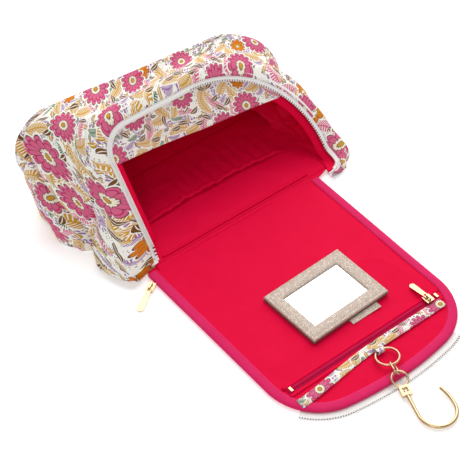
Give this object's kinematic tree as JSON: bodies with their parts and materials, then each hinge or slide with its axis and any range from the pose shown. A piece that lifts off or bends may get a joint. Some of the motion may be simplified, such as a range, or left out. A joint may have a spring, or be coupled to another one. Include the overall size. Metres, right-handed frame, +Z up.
{
  "type": "hanging toiletry bag",
  "caption": "Soft zip-round toiletry bag lying open on its back, with a fold-out lid that carries a mirror, a flat zip pocket and a swivelling hanging hook.",
  "frame": {"origin": "on the surface the bag lies on, under the middle of its bounding box", "axes": "+Z up, +Y from the lid and hook towards the bag's base, +X across the bag to the right seen from the lid's end"},
  "size_m": [0.2654, 0.4408, 0.108],
  "materials": {
    "printed_cotton": "quilted-weight cotton printed with flowers and leaves on cream",
    "nylon_lining": "hot pink nylon taffeta",
    "binding": "magenta folded binding, stitched",
    "padding": "thin polyester wadding",
    "zip_tape": "white woven zip tape",
    "zip_teeth": "white moulded teeth",
    "pink_zip": "pink nylon coil and tape",
    "pale_gold": "pale gold plate, polished",
    "rose_gold": "rose gold plate, polished",
    "glitter_leather": "champagne glitter-coated leather",
    "mirror_board": "stiff backing board",
    "mirror": "silvered glass"
  },
  "bodies": {
    "bag_body": {"back_panel": "printed_cotton", "base_panel": "printed_cotton", "front_panel": "printed_cotton", "left_gusset": "printed_cotton", "right_gusset": "printed_cotton", "back_panel_foam": "padding", "base_panel_foam": "padding", "front_panel_foam": "padding", "left_gusset_foam": "padding", "right_gusset_foam": "padding", "main_lining": "nylon_lining", "lip_panel": "printed_cotton", "slip_pocket": "nylon_lining", "slip_pocket_elastic": "nylon_lining", "rim_zip_tape": "zip_tape", "rim_zip_teeth": "zip_teeth", "fold_seam_tape": "binding"},
    "main_slider": {"main_zip_slider": "pale_gold"},
    "main_pull": {"main_zip_pull": "pale_gold"},
    "lid_main": {"lid_outer": "printed_cotton", "lid_foam": "padding", "lid_lining": "nylon_lining", "lid_pocket_front": "nylon_lining", "lid_left_binding": "binding", "lid_right_binding": "binding", "lid_side_zip_tape": "zip_tape"},
    "lid_tail": {"lid_end_outer": "printed_cotton", "lid_end_foam": "padding", "lid_end_lining": "nylon_lining", "lid_end_pocket_front": "nylon_lining", "lid_end_facing": "nylon_lining", "lid_end_binding": "binding", "lid_end_zip_tape": "zip_tape", "lid_end_zip_teeth": "zip_teeth", "pocket_zip_tape": "pink_zip", "pocket_zip_coil": "pink_zip", "pocket_zip_stops": "pale_gold", "mirror_tab": "glitter_leather", "hanging_strap": "printed_cotton", "strap_tab": "printed_cotton"},
    "mirror": {"mirror_board": "mirror_board", "mirror_glass": "mirror", "mirror_frame": "glitter_leather"},
    "pocket_slider": {"pocket_zip_slider": "pale_gold"},
    "pocket_pull": {"pocket_zip_pull": "pale_gold"},
    "ring": {"hanging_ring": "rose_gold"},
    "link": {"chain_link": "pale_gold"},
    "swivel": {"swivel_eye": "pale_gold", "swivel_block": "pale_gold"},
    "hook": {"hook": "pale_gold"}
  },
  "joints": [
    {"name": "lid_fold", "type": "hinge", "parent": "bag_body", "child": "lid_main", "pos_m": [0, 0.075, 0.0043], "axis": [1, 0, 0], "range_deg": [-105, 0]},
    {"name": "lid_bend", "type": "hinge", "parent": "lid_main", "child": "lid_tail", "pos_m": [0, -0.011, 0.0043], "axis": [1, 0, 0], "range_deg": [-50, 0]},
    {"name": "mirror_lift", "type": "slide", "parent": "lid_tail", "child": "mirror", "axis": [0, 0, 1], "range_m": [0, 0.04]},
    {"name": "pocket_zip_run", "type": "slide", "parent": "lid_tail", "child": "pocket_slider", "axis": [1, 0, 0], "range_m": [-0.154, 0.004]},
    {"name": "pocket_pull_swing", "type": "hinge", "parent": "pocket_slider", "child": "pocket_pull", "pos_m": [0.075, -0.108, 0.00895], "axis": [1, 0, 0], "range_deg": [0, 120]},
    {"name": "main_zip_run", "type": "slide", "parent": "bag_body", "child": "main_slider", "axis": [0.2143, 0.6663, 0.7142], "range_m": [0, 0.1148]},
    {"name": "main_pull_swing", "type": "hinge", "parent": "main_slider", "child": "main_pull", "pos_m": [-0.10929, 0.05892, 0.0041], "axis": [-0.5373, 0.8434, 0], "range_deg": [0, 100]},
    {"name": "ring_swing", "type": "hinge", "parent": "lid_tail", "child": "ring", "pos_m": [0.002, -0.1248, 0.0063], "axis": [-1, 0, 0], "range_deg": [0, 75]},
    {"name": "link_swing", "type": "hinge", "parent": "ring", "child": "link", "pos_m": [-0.00121, -0.14509, 0.00897], "axis": [-0.9511, 0.309, 0], "range_deg": [0, 35]},
    {"name": "swivel_swing", "type": "hinge", "parent": "link", "child": "swivel", "pos_m": [-0.00393, -0.15346, 0.0085], "axis": [-0.9511, 0.309, 0], "range_deg": [0, 20]},
    {"name": "hook_swivel", "type": "hinge", "parent": "swivel", "child": "hook", "pos_m": [-0.01036, -0.17324, 0.00382], "axis": [-0.3087, -0.95, -0.0471], "continuous": true}
  ],
  "couplings": [
    {"joint": "lid_bend", "follows": "lid_fold", "ratio": 0.476}
  ]
}
